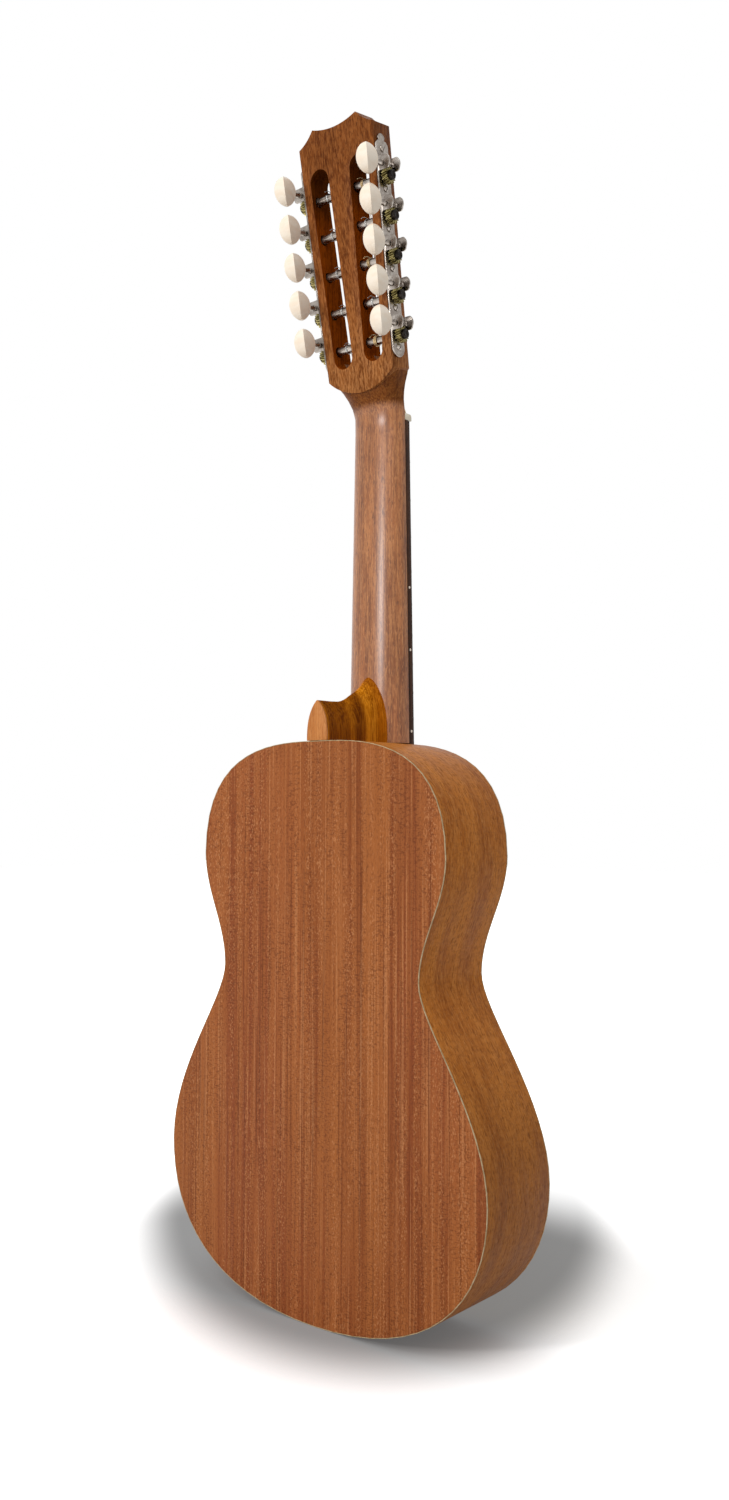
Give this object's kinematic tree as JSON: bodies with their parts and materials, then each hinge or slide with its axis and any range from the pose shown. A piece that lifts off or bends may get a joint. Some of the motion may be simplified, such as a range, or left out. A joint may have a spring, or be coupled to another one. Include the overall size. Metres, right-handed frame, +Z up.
{
  "type": "folk guitar",
  "caption": "Waisted folk guitar with heart soundholes, paired steel strings, a slotted headstock and open worm-gear tuning machines with pearl buttons.",
  "frame": {"origin": "centre of the bounding box's bottom: under the tail of the body, on the joint line", "axes": "+Z up the neck to the crown, -Y out of the soundboard, +Y out of the back, -X toward the bass side"},
  "size_m": [0.2886, 0.0883, 0.8655],
  "materials": {
    "spruce": "pale satin spruce",
    "back_wood": "reddish brown ribbon-striped wood, satin lacquer",
    "binding": "thin pale strip",
    "cedar": "raw inside wood",
    "neck_wood": "satin mahogany-like neck wood",
    "dark_wood": "dark rosewood",
    "bone": "bone",
    "string_steel": "plain and wound steel wire",
    "aged_nickel": "aged nickel plate",
    "aged_brass": "aged brass gear on a nickel roller",
    "pearl": "ivory pearl"
  },
  "bodies": {
    "instrument": {"back": "back_wood", "back_binding": "binding", "back_brace": "spruce", "bridge": "dark_wood", "fretboard": "dark_wood", "front_binding": "binding", "heel_block": "cedar", "machine_plate_bass": "aged_nickel", "machine_plate_treble": "aged_nickel", "neck": "neck_wood", "nut": "bone", "saddle": "bone", "side_bass": "back_wood", "side_treble": "back_wood", "soundboard": "spruce", "string_01": "string_steel", "string_02": "string_steel", "string_03": "string_steel", "string_04": "string_steel", "string_05": "string_steel", "string_06": "string_steel", "string_07": "string_steel", "string_08": "string_steel", "string_09": "string_steel", "string_10": "string_steel", "tail_block": "cedar", "top_brace_lower": "spruce", "top_brace_upper": "spruce"},
    "tuner_bass_1": {"worm_bass_1": "aged_nickel", "button_bass_1": "pearl"},
    "post_bass_1": {"roller_bass_1": "aged_brass"},
    "tuner_bass_2": {"worm_bass_2": "aged_nickel", "button_bass_2": "pearl"},
    "post_bass_2": {"roller_bass_2": "aged_brass"},
    "tuner_bass_3": {"worm_bass_3": "aged_nickel", "button_bass_3": "pearl"},
    "post_bass_3": {"roller_bass_3": "aged_brass"},
    "tuner_bass_4": {"worm_bass_4": "aged_nickel", "button_bass_4": "pearl"},
    "post_bass_4": {"roller_bass_4": "aged_brass"},
    "tuner_bass_5": {"worm_bass_5": "aged_nickel", "button_bass_5": "pearl"},
    "post_bass_5": {"roller_bass_5": "aged_brass"},
    "tuner_treble_1": {"worm_treble_1": "aged_nickel", "button_treble_1": "pearl"},
    "post_treble_1": {"roller_treble_1": "aged_brass"},
    "tuner_treble_2": {"worm_treble_2": "aged_nickel", "button_treble_2": "pearl"},
    "post_treble_2": {"roller_treble_2": "aged_brass"},
    "tuner_treble_3": {"worm_treble_3": "aged_nickel", "button_treble_3": "pearl"},
    "post_treble_3": {"roller_treble_3": "aged_brass"},
    "tuner_treble_4": {"worm_treble_4": "aged_nickel", "button_treble_4": "pearl"},
    "post_treble_4": {"roller_treble_4": "aged_brass"},
    "tuner_treble_5": {"worm_treble_5": "aged_nickel", "button_treble_5": "pearl"},
    "post_treble_5": {"roller_treble_5": "aged_brass"}
  },
  "joints": [
    {"name": "turn_bass_1", "type": "hinge", "parent": "instrument", "child": "tuner_bass_1", "pos_m": [-0.0395, 0.01044, 0.82197], "axis": [0, 0.9853, -0.1711], "continuous": true},
    {"name": "wind_bass_1", "type": "hinge", "parent": "instrument", "child": "post_bass_1", "pos_m": [-0.03421, 0.00916, 0.81461], "axis": [-0.9997, -0.0044, -0.0251], "continuous": true},
    {"name": "turn_bass_2", "type": "hinge", "parent": "instrument", "child": "tuner_bass_2", "pos_m": [-0.03879, 0.00565, 0.79439], "axis": [0, 0.9853, -0.1711], "continuous": true},
    {"name": "wind_bass_2", "type": "hinge", "parent": "instrument", "child": "post_bass_2", "pos_m": [-0.0335, 0.00438, 0.78703], "axis": [-0.9997, -0.0044, -0.0251], "continuous": true},
    {"name": "turn_bass_3", "type": "hinge", "parent": "instrument", "child": "tuner_bass_3", "pos_m": [-0.03808, 0.00086, 0.76681], "axis": [0, 0.9853, -0.1711], "continuous": true},
    {"name": "wind_bass_3", "type": "hinge", "parent": "instrument", "child": "post_bass_3", "pos_m": [-0.03279, -0.00041, 0.75946], "axis": [-0.9997, -0.0044, -0.0251], "continuous": true},
    {"name": "turn_bass_4", "type": "hinge", "parent": "instrument", "child": "tuner_bass_4", "pos_m": [-0.03737, -0.00392, 0.73923], "axis": [0, 0.9853, -0.1711], "continuous": true},
    {"name": "wind_bass_4", "type": "hinge", "parent": "instrument", "child": "post_bass_4", "pos_m": [-0.03208, -0.0052, 0.73188], "axis": [-0.9997, -0.0044, -0.0251], "continuous": true},
    {"name": "turn_bass_5", "type": "hinge", "parent": "instrument", "child": "tuner_bass_5", "pos_m": [-0.03666, -0.00871, 0.71166], "axis": [0, 0.9853, -0.1711], "continuous": true},
    {"name": "wind_bass_5", "type": "hinge", "parent": "instrument", "child": "post_bass_5", "pos_m": [-0.03136, -0.00999, 0.7043], "axis": [-0.9997, -0.0044, -0.0251], "continuous": true},
    {"name": "turn_treble_1", "type": "hinge", "parent": "instrument", "child": "tuner_treble_1", "pos_m": [0.0395, 0.01044, 0.82197], "axis": [0, 0.9853, -0.1711], "continuous": true},
    {"name": "wind_treble_1", "type": "hinge", "parent": "instrument", "child": "post_treble_1", "pos_m": [0.03421, 0.00916, 0.81461], "axis": [0.9997, -0.0044, -0.0251], "continuous": true},
    {"name": "turn_treble_2", "type": "hinge", "parent": "instrument", "child": "tuner_treble_2", "pos_m": [0.03879, 0.00565, 0.79439], "axis": [0, 0.9853, -0.1711], "continuous": true},
    {"name": "wind_treble_2", "type": "hinge", "parent": "instrument", "child": "post_treble_2", "pos_m": [0.0335, 0.00438, 0.78703], "axis": [0.9997, -0.0044, -0.0251], "continuous": true},
    {"name": "turn_treble_3", "type": "hinge", "parent": "instrument", "child": "tuner_treble_3", "pos_m": [0.03808, 0.00086, 0.76681], "axis": [0, 0.9853, -0.1711], "continuous": true},
    {"name": "wind_treble_3", "type": "hinge", "parent": "instrument", "child": "post_treble_3", "pos_m": [0.03279, -0.00041, 0.75946], "axis": [0.9997, -0.0044, -0.0251], "continuous": true},
    {"name": "turn_treble_4", "type": "hinge", "parent": "instrument", "child": "tuner_treble_4", "pos_m": [0.03737, -0.00392, 0.73923], "axis": [0, 0.9853, -0.1711], "continuous": true},
    {"name": "wind_treble_4", "type": "hinge", "parent": "instrument", "child": "post_treble_4", "pos_m": [0.03208, -0.0052, 0.73188], "axis": [0.9997, -0.0044, -0.0251], "continuous": true},
    {"name": "turn_treble_5", "type": "hinge", "parent": "instrument", "child": "tuner_treble_5", "pos_m": [0.03666, -0.00871, 0.71166], "axis": [0, 0.9853, -0.1711], "continuous": true},
    {"name": "wind_treble_5", "type": "hinge", "parent": "instrument", "child": "post_treble_5", "pos_m": [0.03136, -0.00999, 0.7043], "axis": [0.9997, -0.0044, -0.0251], "continuous": true}
  ],
  "couplings": [
    {"joint": "wind_bass_1", "follows": "turn_bass_1", "ratio": 0.071429},
    {"joint": "wind_bass_2", "follows": "turn_bass_2", "ratio": 0.071429},
    {"joint": "wind_bass_3", "follows": "turn_bass_3", "ratio": 0.071429},
    {"joint": "wind_bass_4", "follows": "turn_bass_4", "ratio": 0.071429},
    {"joint": "wind_bass_5", "follows": "turn_bass_5", "ratio": 0.071429},
    {"joint": "wind_treble_1", "follows": "turn_treble_1", "ratio": 0.071429},
    {"joint": "wind_treble_2", "follows": "turn_treble_2", "ratio": 0.071429},
    {"joint": "wind_treble_3", "follows": "turn_treble_3", "ratio": 0.071429},
    {"joint": "wind_treble_4", "follows": "turn_treble_4", "ratio": 0.071429},
    {"joint": "wind_treble_5", "follows": "turn_treble_5", "ratio": 0.071429}
  ]
}
